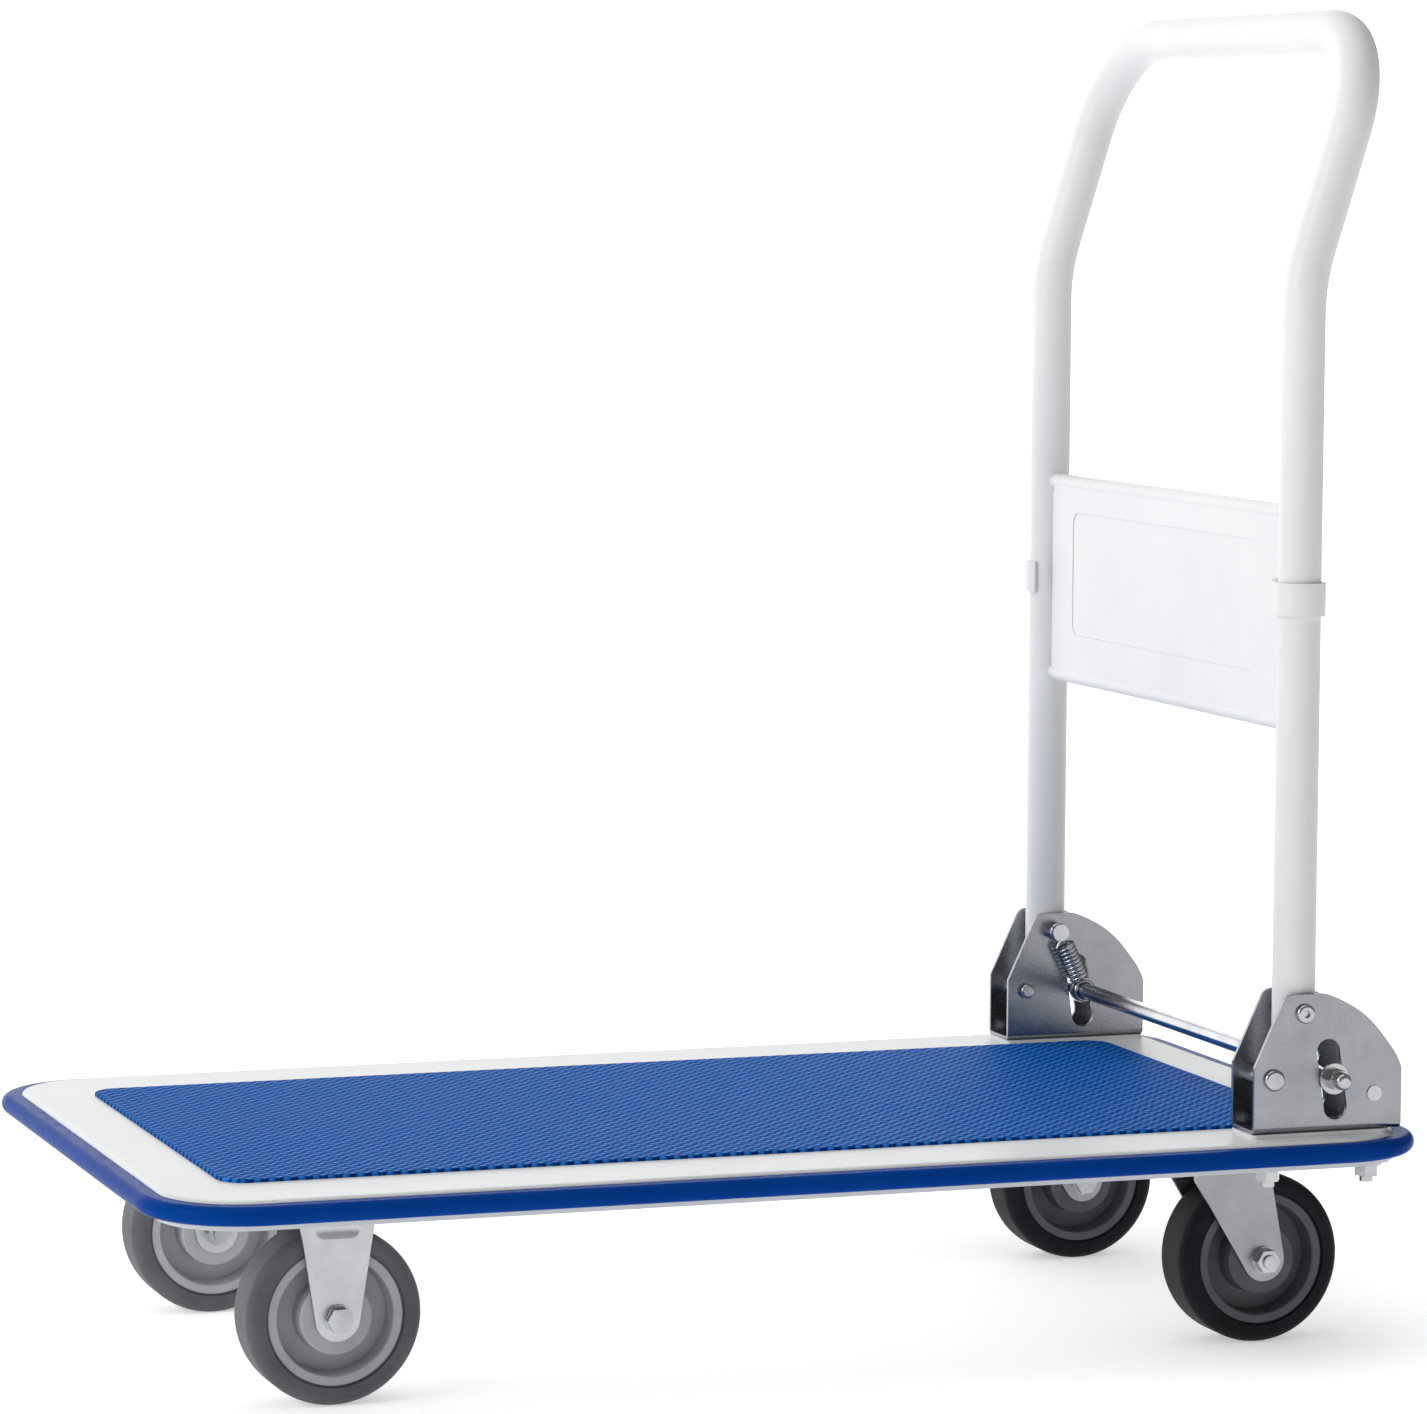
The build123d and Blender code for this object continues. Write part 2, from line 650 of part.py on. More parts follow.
def hinge_bracket(y):
    """A folded U channel, open at both ends, that carries one leg of the handle."""
    body = across(bracket_outline(), y - BRACKET_HALF_WIDTH, y + BRACKET_HALF_WIDTH)
    folds = body.edges().filter_by(Axis.X).group_by(Axis.Z)[0]
    body = fillet(folds, BRACKET_SHEET + 1.4)
    inner_half = BRACKET_HALF_WIDTH - BRACKET_SHEET
    gap_low = SEAT_TOP + BRACKET_SHEET
    gap = Pos((BRACKET_BACK + BRACKET_FRONT) / 2, y, gap_low + BRACKET_HEIGHT / 2) * Box(
        BRACKET_FRONT - BRACKET_BACK + 2, 2 * inner_half, BRACKET_HEIGHT
    )
    gap_folds = gap.edges().filter_by(Axis.X).group_by(Axis.Z)[0]
    body = body - fillet(gap_folds, 1.4)
    body = body - cross(PIVOT_PIN_RADIUS, y - 30, y + 30, HANDLE_X, PIVOT_Z)
    body = body - cross(STOP_PIN_RADIUS, y - 30, y + 30, STOP_X, STOP_Z)
    body = body - cross(RIVET_RADIUS, y - 30, y + 30, RIVET_X, RIVET_Z)
    body = body - slot_cut(y)
    for bolt_x in BRACKET_BOLTS_X:
        body = body - rod(M8_SHANK, SEAT_TOP - 1, SEAT_TOP + 6, bolt_x, y)
    return body


def pivot_pin(side):
    """The pin the handle turns on: domed outer head, and an inner neck that holds the spring."""
    y = side * HANDLE_HALF_SPACING
    outer = y + side * BRACKET_HALF_WIDTH
    inner = y - side * BRACKET_HALF_WIDTH
    shank = cross(PIVOT_PIN_RADIUS, inner, outer, HANDLE_X, PIVOT_Z)
    head = cross(PIVOT_HEAD_RADIUS, outer, outer + side * 3.0, HANDLE_X, PIVOT_Z)
    rim_face = head.faces().sort_by(Axis.Y)[-1 if side > 0 else 0]
    head = fillet(rim_face.edges(), 1.8)
    head = head - cross(2.1, outer + side * 1.2, outer + side * 4.0, HANDLE_X, PIVOT_Z)
    neck_start = inner - side * (SPRING_OFFSET - 1.7)
    neck_end = inner - side * (SPRING_OFFSET + 1.7)
    collar = cross(PIVOT_COLLAR_RADIUS, inner, neck_start, HANDLE_X, PIVOT_Z)
    neck = cross(3.5, neck_start, neck_end, HANDLE_X, PIVOT_Z)
    button = cross(PIVOT_COLLAR_RADIUS, neck_end, neck_end - side * 2.8, HANDLE_X, PIVOT_Z)
    return fuse_all([shank, head, collar, neck, button])


def stop_pin(side):
    """The riveted spacer that the handle leg rests against when it stands upright."""
    y = side * HANDLE_HALF_SPACING
    outer = y + side * BRACKET_HALF_WIDTH
    inner = y - side * BRACKET_HALF_WIDTH
    gap_half = BRACKET_HALF_WIDTH - BRACKET_SHEET
    shank = cross(STOP_PIN_RADIUS, inner, outer, STOP_X, STOP_Z)
    peen = cross(STOP_PEEN_RADIUS, inner, inner - side * 4.0, STOP_X, STOP_Z)
    peen_face = peen.faces().sort_by(Axis.Y)[0 if side > 0 else -1]
    peen = fillet(peen_face.edges(), 1.4)
    sleeve = cross(STOP_RADIUS, y - gap_half, y + gap_half, STOP_X, STOP_Z)
    head = cross(6.4, outer, outer + side * 3.0, STOP_X, STOP_Z)
    rim_face = head.faces().sort_by(Axis.Y)[-1 if side > 0 else 0]
    head = fillet(rim_face.edges(), 1.8)
    return fuse_all([shank, sleeve, head, peen])


def spacer_rivet(side):
    """A flush rivet that holds the two bracket walls apart near the front."""
    y = side * HANDLE_HALF_SPACING
    outer = y + side * BRACKET_HALF_WIDTH
    inner = y - side * BRACKET_HALF_WIDTH
    gap_half = BRACKET_HALF_WIDTH - BRACKET_SHEET
    shank = cross(RIVET_RADIUS, inner, outer, RIVET_X, RIVET_Z)
    sleeve = cross(RIVET_RADIUS + 1.5, y - gap_half, y + gap_half, RIVET_X, RIVET_Z)
    face = cross(RIVET_RADIUS + 0.7, outer, outer + side * 0.7, RIVET_X, RIVET_Z)
    back = cross(RIVET_RADIUS + 0.7, inner, inner - side * 0.7, RIVET_X, RIVET_Z)
    return fuse_all([shank, sleeve, face, back])


def bracket_bolts(side):
    """Low-headed bolts through bracket base, deck and channel."""
    y = side * HANDLE_HALF_SPACING
    top = SEAT_TOP + BRACKET_SHEET
    bolts = []
    for bolt_x in BRACKET_BOLTS_X:
        shank = rod(M8_SHANK, NUT_SEAT_LOW - M8_NUT - 5.4, top, bolt_x, y)
        head = rod(7.2, top, top + 3.6, bolt_x, y)
        bolts.append(shank + head)
    return Compound(children=bolts)


def bracket_nuts(side):
    """Flange nuts with washers under the channel, below the hinge bracket."""
    y = side * HANDLE_HALF_SPACING
    nuts = []
    for bolt_x in BRACKET_BOLTS_X:
        washer = rod(9.2, NUT_SEAT_LOW - 1.8, NUT_SEAT_LOW, bolt_x, y)
        nut = hexagon_up(M8_HEX, NUT_SEAT_LOW - 1.8 - M8_NUT, NUT_SEAT_LOW - 1.8, bolt_x, y)
        bore = rod(M8_SHANK, NUT_SEAT_LOW - 12, NUT_SEAT_LOW + 1, bolt_x, y)
        nuts.append(washer + nut - bore)
    return Compound(children=nuts)


def bolt_spacers(side):
    """Tubes inside the channel that keep the bracket bolts from crushing it."""
    y = side * HANDLE_HALF_SPACING
    tubes = []
    for bolt_x in BRACKET_BOLTS_X:
        wall = rod(M8_SHANK + 3.0, CHANNEL_BOTTOM + CHANNEL_SHEET, DECK_UNDER, bolt_x, y)
        tubes.append(wall - rod(M8_SHANK, CHANNEL_BOTTOM, DECK_TOP, bolt_x, y))
    return Compound(children=tubes)


for side_name, side in SIDES:
    save(hinge_bracket(side * HANDLE_HALF_SPACING), f"hinge_bracket_{side_name}")
    save(pivot_pin(side), f"pivot_pin_{side_name}")
    save(stop_pin(side), f"stop_pin_{side_name}")
save(Compound(children=[spacer_rivet(-1), spacer_rivet(1)]), "spacer_rivets")

hinge_bolts = bracket_bolts(-1).solids() + bracket_bolts(1).solids()
hinge_nuts = bracket_nuts(-1).solids() + bracket_nuts(1).solids()
hinge_spacers = bolt_spacers(-1).solids() + bolt_spacers(1).solids()
save(Compound(children=list(hinge_bolts)), "hinge_bracket_bolts")
save(Compound(children=list(hinge_nuts)), "hinge_bracket_nuts")
save(Compound(children=list(hinge_spacers)), "hinge_bolt_spacers")


# ---- handle --------------------------------------------------------------------------------------
LEAN = math.radians(HANDLE_LEAN)
TOP_X = HANDLE_X + (HANDLE_TOP - HANDLE_BEND_Z) * math.tan(LEAN)


def handle_path(low_z):
    """The centre line of the handle tube from one leg end over the top to the other."""
    bend = HANDLE_BEND_RADIUS * math.tan(LEAN / 2)
    corner = HANDLE_CORNER_RADIUS
    half = HANDLE_HALF_SPACING
    up = Vector(0, 0, 1)
    lean = Vector(math.sin(LEAN), 0, math.cos(LEAN))
    cross_dir = Vector(0, 1, 0)
    foot = Vector(HANDLE_X, -half, low_z)
    knee = Vector(HANDLE_X, -half, HANDLE_BEND_Z)
    crown = Vector(TOP_X, -half, HANDLE_TOP)
    flip = Vector(1, -1, 1)

    def mirrored(point):
        return Vector(point.X * flip.X, point.Y * flip.Y, point.Z * flip.Z)

    knee_in = knee - up * bend
    knee_out = knee + lean * bend
    corner_in = crown - lean * corner
    corner_out = crown + cross_dir * corner
    run = [
        Line(foot, knee_in),
        TangentArc(knee_in, knee_out, tangent=up),
        Line(knee_out, corner_in),
        TangentArc(corner_in, corner_out, tangent=lean),
        Line(corner_out, mirrored(corner_out)),
        TangentArc(mirrored(corner_out), mirrored(corner_in), tangent=cross_dir),
        Line(mirrored(corner_in), mirrored(knee_out)),
        TangentArc(mirrored(knee_out), mirrored(knee_in), tangent=lean * -1),
        Line(mirrored(knee_in), mirrored(foot)),
    ]
    return Wire(run)


def handle_tube():
    """One bent tube, drilled at the foot of each leg for the pivot pin."""
    path = handle_path(TUBE_END_Z)
    start = Plane(origin=(HANDLE_X, -HANDLE_HALF_SPACING, TUBE_END_Z), z_dir=(0, 0, 1))
    ring = start * (Circle(TUBE_RADIUS) - Circle(TUBE_RADIUS - TUBE_WALL))
    tube = sweep(ring, path=path)
    for side in (-1, 1):
        y = side * HANDLE_HALF_SPACING
        tube = tube - cross(7.0, y - 30, y + 30, HANDLE_X, PIVOT_Z)
    return tube


def leg_plug(side):
    """A moulded plug that closes the open foot of a handle leg."""
    return rod(
        TUBE_RADIUS - TUBE_WALL, TUBE_END_Z, LEG_PLUG_TOP, HANDLE_X, side * HANDLE_HALF_SPACING
    )


save(handle_tube(), "handle_tube")
save(Compound(children=[leg_plug(-1), leg_plug(1)]), "leg_plugs")


def pivot_bush(side):
    """A flanged sleeve in the leg that turns on the pivot pin."""
    y = side * HANDLE_HALF_SPACING
    half = TUBE_RADIUS + 0.7
    wall = cross(7.0, y - half, y + half, HANDLE_X, PIVOT_Z)
    bore = cross(PIVOT_PIN_RADIUS + 0.06, y - 30, y + 30, HANDLE_X, PIVOT_Z)
    return wall - bore


for side_name, side in SIDES:
    save(pivot_bush(side), f"pivot_bush_{side_name}")


def tube_leg(side):
    """The space one straight leg fills, used to shape what meets it."""
    return rod(TUBE_RADIUS, PANEL_LOW - 60, PANEL_HIGH + 60, HANDLE_X, side * HANDLE_HALF_SPACING)


def handle_panel():
    """The pressed panel between the legs, with a rolled rod along its top and bottom edges."""
    middle_z = (PANEL_HIGH + PANEL_LOW) / 2
    middle_x = PANEL_FACE_X + PANEL_SHEET / 2
    sheet = Box(PANEL_SHEET, 2 * PANEL_HALF_WIDTH, PANEL_HIGH - PANEL_LOW)
    sheet = fillet(sheet.edges().filter_by(Axis.X), PANEL_CORNER)
    shape = Pos(middle_x, 0, middle_z) * sheet
    pocket = Box(PRESS_DEPTH, 2 * PRESS_HALF_WIDTH, PRESS_HIGH - PRESS_LOW)
    pocket = fillet(pocket.edges().filter_by(Axis.X), PANEL_CORNER)
    shape = shape - Pos(PANEL_FACE_X, 0, (PRESS_HIGH + PRESS_LOW) / 2) * pocket
    for rod_z in (PANEL_HIGH, PANEL_LOW):
        reach = HANDLE_HALF_SPACING
        edge_rod = cross(PANEL_ROD_RADIUS, -reach, reach, HANDLE_X, rod_z)
        shape = shape + (edge_rod - tube_leg(-1) - tube_leg(1))
    return shape


def band_clamp(side, z, leg_hand, panel_x, panel_y, end_angle):
    """A strap round the outside of one leg whose straight end lies on the panel."""
    centre_y = side * HANDLE_HALF_SPACING
    outer_radius = TUBE_RADIUS + CLAMP_SHEET
    foot_x, foot_y = tangent_point(
        HANDLE_X, centre_y, TUBE_RADIUS, panel_x, panel_y, leg_hand
    )
    start = math.degrees(math.atan2(foot_y - centre_y, foot_x - HANDLE_X))
    run_x = panel_x - foot_x
    run_y = panel_y - foot_y
    run = math.hypot(run_x, run_y)
    out_x = (foot_x - HANDLE_X) / TUBE_RADIUS * CLAMP_SHEET
    out_y = (foot_y - centre_y) / TUBE_RADIUS * CLAMP_SHEET
    tip_x = panel_x + run_x / run * 1.0
    leg = make_face(
        Polyline(
            (foot_x, foot_y),
            (panel_x, panel_y),
            (tip_x + out_x, panel_y + out_y),
            (foot_x + out_x, foot_y + out_y),
            close=True,
        )
    )
    turn = (end_angle - start) % 360
    steps = [math.radians(start + turn * i / CLAMP_STEPS) for i in range(CLAMP_STEPS + 1)]
    reach = outer_radius * 1.6
    fan = [(HANDLE_X, centre_y)]
    fan += [(HANDLE_X + reach * math.cos(a), centre_y + reach * math.sin(a)) for a in steps]
    sector = make_face(Polyline(*fan, close=True))
    ring = Pos(HANDLE_X, centre_y) * (Circle(outer_radius) - Circle(TUBE_RADIUS))
    band = extrude(ring & sector, CLAMP_HEIGHT)
    strap = band + extrude(leg, CLAMP_HEIGHT)
    return Pos(0, 0, z - CLAMP_HEIGHT / 2) * strap


save(handle_panel(), "handle_panel")
save(
    band_clamp(-1, CLAMP_NEAR_Z, 1, PANEL_FACE_X, -CLAMP_REACH, 32.0),
    "band_clamp_near",
)
save(
    band_clamp(1, CLAMP_FAR_Z, 1, PANEL_FACE_X + PANEL_SHEET, CLAMP_REACH, 212.0),
    "band_clamp_far",
)


# ---- lock rod and its springs ------------------------------------------------------------------
ROD_REACH = HANDLE_HALF_SPACING + BRACKET_HALF_WIDTH
NECK_Y = HANDLE_HALF_SPACING - BRACKET_HALF_WIDTH - SPRING_OFFSET


def lock_rod():
    """The foot bar through both brackets, with a collar inside each."""
    bar = cross(ROD_RADIUS, -ROD_REACH - 2.4, ROD_REACH + 2.4, ROD_X, ROD_Z)
    for side in (-1, 1):
        inner = side * (HANDLE_HALF_SPACING - BRACKET_HALF_WIDTH - 0.5)
        bar = bar + cross(8.0, inner, inner - side * 3.4, ROD_X, ROD_Z)
    return bar


def rod_washer(side):
    """A wide washer that covers the slot on the outer wall."""
    start = side * (ROD_REACH + 0.5)
    washer = cross(9.2, start, start + side * 1.8, ROD_X, ROD_Z)
    return washer - cross(ROD_RADIUS, start - side * 2, start + side * 4, ROD_X, ROD_Z)


def rod_nut(side):
    """An acorn nut on the end of the foot bar: hexagon and long dome."""
    start = side * (ROD_REACH + 2.4)
    seat = start + side * 6.0
    body = hexagon_across(11.0, start, seat, ROD_X, ROD_Z)
    dome = cross(5.0, seat, seat + side * 8.0, ROD_X, ROD_Z)
    tip = dome.faces().sort_by(Axis.Y)[-1 if side > 0 else 0]
    return body + fillet(tip.edges(), 2.6)


def spring(side):
    """A tension spring from the pivot pin's neck down to the foot bar."""
    y = side * NECK_Y
    dx = ROD_X - HANDLE_X
    dz = ROD_Z - PIVOT_Z
    length = math.hypot(dx, dz)
    along = Vector(dx / length, 0, dz / length)
    top = Vector(HANDLE_X, y, PIVOT_Z)
    start = top + along * SPRING_START
    coil_length = length - SPRING_START - SPRING_STOP
    line = Helix(
        pitch=coil_length / SPRING_TURNS,
        height=coil_length,
        radius=SPRING_RADIUS,
        center=start,
        direction=along,
    )
    first = line @ 0
    last = line @ 1
    section = Plane(origin=first, z_dir=line % 0) * Circle(WIRE_RADIUS)
    coil = sweep(section, path=line, is_frenet=True)
    ring = Rot(90, 0, 0) * Torus(NECK_LOOP, WIRE_RADIUS)
    eye = Rot(90, 0, 0) * Torus(ROD_LOOP, WIRE_RADIUS)
    upper = Pos(HANDLE_X, y, PIVOT_Z) * ring
    lower = Pos(ROD_X, y, ROD_Z) * eye
    upper_foot = top + along * NECK_LOOP
    lower_foot = Vector(ROD_X, y, ROD_Z) - along * ROD_LOOP
    links = [(first, upper_foot), (last, lower_foot)]
    shape = coil + upper + lower
    for begin, end in links:
        gap = end - begin
        plane = Plane(origin=begin, z_dir=gap)
        shape = shape + extrude(plane * Circle(WIRE_RADIUS), gap.length)
        shape = shape + at(Sphere(WIRE_RADIUS), begin.X, begin.Y, begin.Z)
    return shape


save(lock_rod(), "lock_rod")
save(Compound(children=[rod_washer(-1), rod_washer(1)]), "lock_rod_washers")
save(Compound(children=[rod_nut(-1), rod_nut(1)]), "lock_rod_nuts")
for side_name, side in SIDES:
    save(spring(side), f"lock_spring_{side_name}")
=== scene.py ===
"""Looks for the folding platform cart: materials, rounded details, light and camera."""
import json
import math

import bpy
from mathutils import Matrix, Vector


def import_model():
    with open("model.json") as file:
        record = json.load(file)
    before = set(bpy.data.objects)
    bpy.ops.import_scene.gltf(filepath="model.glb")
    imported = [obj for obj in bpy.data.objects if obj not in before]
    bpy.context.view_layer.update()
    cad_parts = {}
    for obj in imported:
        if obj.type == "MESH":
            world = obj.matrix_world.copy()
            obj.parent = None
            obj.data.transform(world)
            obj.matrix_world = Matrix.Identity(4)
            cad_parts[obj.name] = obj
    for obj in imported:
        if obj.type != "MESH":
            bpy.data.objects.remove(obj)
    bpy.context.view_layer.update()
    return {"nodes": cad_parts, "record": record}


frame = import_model()
NODES = frame["nodes"]

# Sizes are in metres, softbox power in watts and angles in degrees.

# The mat grain: cell size, how fast a dash falls away along and across it, and its depth.
GRAIN_PITCH = 0.0085
GRAIN_LONG = 0.55
GRAIN_SHORT = 1.9
GRAIN_DEPTH = 0.0012

# How much the rolling lines in metal are squeezed along X, Y and Z.
UP_LINES = (1.0, 1.0, 14.0)
TURNED_LINES = (6.0, 1.0, 6.0)
ROD_LINES = (1.0, 12.0, 1.0)
WIRE_LINES = (8.0, 8.0, 1.0)

FLOOR_HALF_WIDTH = 9.0
FLOOR_FRONT = -7.0
SCREEN_Y = 6.0
SCREEN_TOP = 6.0
SCREEN_RIGHT = 4.3
SCREEN_GLOW = 0.95
# The floor glow is painted light: dimmer near the object, which paints a soft shade round it, and brighter
# far away.
FLOOR_GLOW_NEAR = 0.46
FLOOR_GLOW_FAR = 0.85
FLOOR_GLOW_FROM = 0.5
FLOOR_GLOW_TO = 1.5
SKY_GLOW = 0.24

SOFTBOX_AIM_HIGH = (0.0, 0.0, 0.40)
SOFTBOX_AIM_LOW = (0.0, 0.0, 0.0)
# Each softbox: name, place, aim, size, power.
SOFTBOXES = (
    ("key", (-3.4, -0.7, 1.8), SOFTBOX_AIM_HIGH, (1.8, 1.8), 58.0),
    ("top", (-0.3, 0.2, 3.4), SOFTBOX_AIM_LOW, (4.0, 3.0), 46.0),
)

CAMERA_PLACE = (-1.0994, -3.1651, 0.6920)
CAMERA_YAW = 19.306
CAMERA_PITCH = 5.418
CAMERA_ROLL = 0.31
CAMERA_LENS_MM = 142.11238402
SENSOR_MM = 36.0


# ---- node helpers --------------------------------------------------------------------
class Tree:
    """A material being built: every call adds one shader node and returns its output."""

    def __init__(self, name):
        self.mat = bpy.data.materials.new(name)
        self.mat.use_nodes = True
        self.nt = self.mat.node_tree
        self.bsdf = self.nt.nodes["Principled BSDF"]
        self.coord = self.nt.nodes.new("ShaderNodeTexCoord").outputs["Object"]

    def node(self, kind, **props):
        """One bare shader node with its settings."""
        n = self.nt.nodes.new(kind)
        for key, value in props.items():
            setattr(n, key, value)
        return n

    def put(self, socket, value):
        """Link another node's output to a socket, or set it to a plain value."""
        if isinstance(value, bpy.types.NodeSocket):
            self.nt.links.new(value, socket)
        else:
            socket.default_value = value

    def math(self, op, a, b=0.0):
        n = self.node("ShaderNodeMath", operation=op)
        for socket, value in zip(n.inputs, (a, b)):
            self.put(socket, value)
        return n.outputs[0]

    def noise(self, scale, detail=3.0, rough=0.5, stretch=None):
        """Soft noise in the object's own space, squeezed along the axes by stretch."""
        n = self.node("ShaderNodeTexNoise")
        where = self.coord
        if stretch is not None:
            m = self.node("ShaderNodeMapping")
            m.inputs["Scale"].default_value = stretch
            self.put(m.inputs["Vector"], where)
            where = m.outputs[0]
        self.put(n.inputs["Vector"], where)
        n.inputs["Scale"].default_value = scale
        n.inputs["Detail"].default_value = detail
        n.inputs["Roughness"].default_value = rough
        return n.outputs["Fac"]

    def ramp(self, fac, stops):
        """A colour that runs through the given stops."""
        n = self.node("ShaderNodeValToRGB")
        self.put(n.inputs["Fac"], fac)
        while len(n.color_ramp.elements) < len(stops):
            n.color_ramp.elements.new(0.5)
        for element, (pos, colour) in zip(n.color_ramp.elements, stops):
            element.position = pos
            element.color = colour
        return n.outputs["Color"]

    def span(self, fac, low, high, a=0.0, b=1.0):
        """A value that goes from low to high as fac goes from a to b."""
        n = self.node("ShaderNodeMapRange")
        self.put(n.inputs["Value"], fac)
        n.inputs["From Min"].default_value = a
        n.inputs["From Max"].default_value = b
        n.inputs["To Min"].default_value = low
        n.inputs["To Max"].default_value = high
        return n.outputs[0]

    def mix(self, fac, a, b):
        """A colour from a to b as fac goes from 0 to 1."""
        n = self.node("ShaderNodeMix", data_type="RGBA")
        self.put(n.inputs[0], fac)
        self.put(n.inputs[6], a)
        self.put(n.inputs[7], b)
        return n.outputs[2]

    def axes(self):
        """X, Y and Z in the object's own space."""
        n = self.node("ShaderNodeSeparateXYZ")
        self.put(n.inputs[0], self.coord)
        return n.outputs[0], n.outputs[1], n.outputs[2]

    def rounded(self, radius):
        """Normals that read every sharp edge as a small round."""
        n = self.node("ShaderNodeBevel", samples=4)
        n.inputs["Radius"].default_value = radius
        return n.outputs[0]

    def bump(self, height, strength, distance, before=None):
        n = self.node("ShaderNodeBump")
        n.inputs["Strength"].default_value = strength
        n.inputs["Distance"].default_value = distance
        self.put(n.inputs["Height"], height)
        if before is not None:
            self.put(n.inputs["Normal"], before)
        return n.outputs[0]

    def finish(self, color, rough, normal=None, **plain):
        """Wire up the shader; plain names are its sockets, with underscores for spaces."""
        self.put(self.bsdf.inputs["Base Color"], color)
        self.put(self.bsdf.inputs["Roughness"], rough)
        if normal is not None:
            self.put(self.bsdf.inputs["Normal"], normal)
        for key, value in plain.items():
            self.bsdf.inputs[key.replace("_", " ")].default_value = value
        return self.mat


def rgb(r, g, b):
    """A colour given as seen on screen (0 to 255), as linear light."""
    def lin(v):
        v = v / 255.0
        return v / 12.92 if v <= 0.04045 else ((v + 0.055) / 1.055) ** 2.4
    return (lin(r), lin(g), lin(b), 1.0)


# ---- materials -----------------------------------------------------------------------
def white_coat():
    """Powder coat: faint orange peel, slight tone drift and dull scuffs."""
    t = Tree("white_powder_coat")
    peel = t.noise(900.0, 2.0, 0.5)
    drift = t.noise(9.0, 3.0, 0.6)
    fleck = t.noise(260.0, 2.0, 0.5)
    scuff = t.noise(46.0, 6.0, 0.75, stretch=(1.0, 1.0, 0.35))
    color = t.ramp(drift, [(0.3, rgb(218, 219, 220)), (0.7, rgb(226, 227, 227))])
    color = t.mix(t.span(scuff, 0.0, 0.10, 0.64, 0.8), color, rgb(170, 170, 168))
    rough = t.math("ADD", t.span(drift, 0.30, 0.40), t.span(fleck, 0.0, 0.06))
    normal = t.bump(peel, 0.14, 0.0004, t.rounded(0.0006))
    return t.finish(color, rough, normal, Specular_IOR_Level=0.22, Coat_Weight=0.04, Coat_Roughness=0.16)


def mat_sheet():
    """Blue vinyl sheet with a basket-like grain of short raised dashes, coloured with painted highlight on
    the dashes and painted shade between them.
    """
    t = Tree("blue_mat_grain_painted_light")
    x, y, _ = t.axes()
    per_metre = 1.0 / GRAIN_PITCH
    warp = t.span(t.noise(60.0, 2.0), -0.10, 0.10)
    u = t.math("ADD", t.math("MULTIPLY", t.math("ADD", x, y), per_metre), warp)
    v = t.math("SUBTRACT", t.math("MULTIPLY", t.math("SUBTRACT", x, y), per_metre), warp)
    parity = t.math("MODULO", t.math("ABSOLUTE", t.math("ADD", t.math("FLOOR", u), t.math("FLOOR", v))), 2.0)
    fu = t.math("SUBTRACT", t.math("MULTIPLY", t.math("FRACT", u), 2.0), 1.0)
    fv = t.math("SUBTRACT", t.math("MULTIPLY", t.math("FRACT", v), 2.0), 1.0)
    fu2 = t.math("MULTIPLY", fu, fu)
    fv2 = t.math("MULTIPLY", fv, fv)

    def dash(along, across):
        fall = t.math("SUBTRACT", 1.0, t.math("MULTIPLY", along, GRAIN_LONG))
        return t.math("SUBTRACT", fall, t.math("MULTIPLY", across, GRAIN_SHORT))

    pick = t.node("ShaderNodeMix", data_type="FLOAT")
    t.put(pick.inputs[0], parity)
    t.put(pick.inputs[2], dash(fu2, fv2))
    t.put(pick.inputs[3], dash(fv2, fu2))
    grain = t.math("MAXIMUM", pick.outputs[0], 0.0)
    grain = t.math("POWER", grain, 0.7)
    fine = t.noise(1800.0, 2.0)
    tone = t.noise(6.0, 3.0, 0.6)
    dust = t.noise(18.0, 5.0, 0.7)
    # Painted light: the colour runs from painted shade in the hollows (low) to painted highlight on the
    # raised dashes (high), following the grain's height.
    low = t.mix(tone, rgb(0, 44, 112), rgb(0, 50, 120))
    high = t.mix(tone, rgb(30, 128, 226), rgb(40, 136, 234))
    color = t.mix(grain, low, high)
    color = t.mix(t.span(dust, 0.0, 0.06, 0.55, 0.8), color, rgb(110, 150, 206))
    rough = t.math("SUBTRACT", t.span(tone, 0.56, 0.64), t.math("MULTIPLY", grain, 0.12))
    height = t.math("ADD", grain, t.math("MULTIPLY", fine, 0.08))
    normal = t.bump(height, 1.0, GRAIN_DEPTH)
    return t.finish(color, rough, normal, Specular_IOR_Level=0.02)


def bumper_vinyl():
    """Satin blue vinyl with a fine texture and a few pale scuffs."""
    t = Tree("blue_bumper_vinyl")
    drift = t.noise(14.0, 3.0, 0.6)
    fine = t.noise(700.0, 2.0, 0.5, stretch=(1.0, 1.0, 6.0))
    scuff = t.noise(55.0, 5.0, 0.7, stretch=(1.0, 1.0, 8.0))
    color = t.ramp(drift, [(0.3, rgb(2, 54, 132)), (0.7, rgb(6, 62, 142))])
    color = t.mix(t.span(scuff, 0.0, 0.05, 0.64, 0.82), color, rgb(90, 126, 178))
    rough = t.math("ADD", t.span(drift, 0.22, 0.30), t.span(scuff, 0.0, 0.2, 0.55, 0.85))
    normal = t.bump(fine, 0.14, 0.0003, t.rounded(0.0008))
    return t.finish(color, rough, normal, Specular_IOR_Level=0.01)


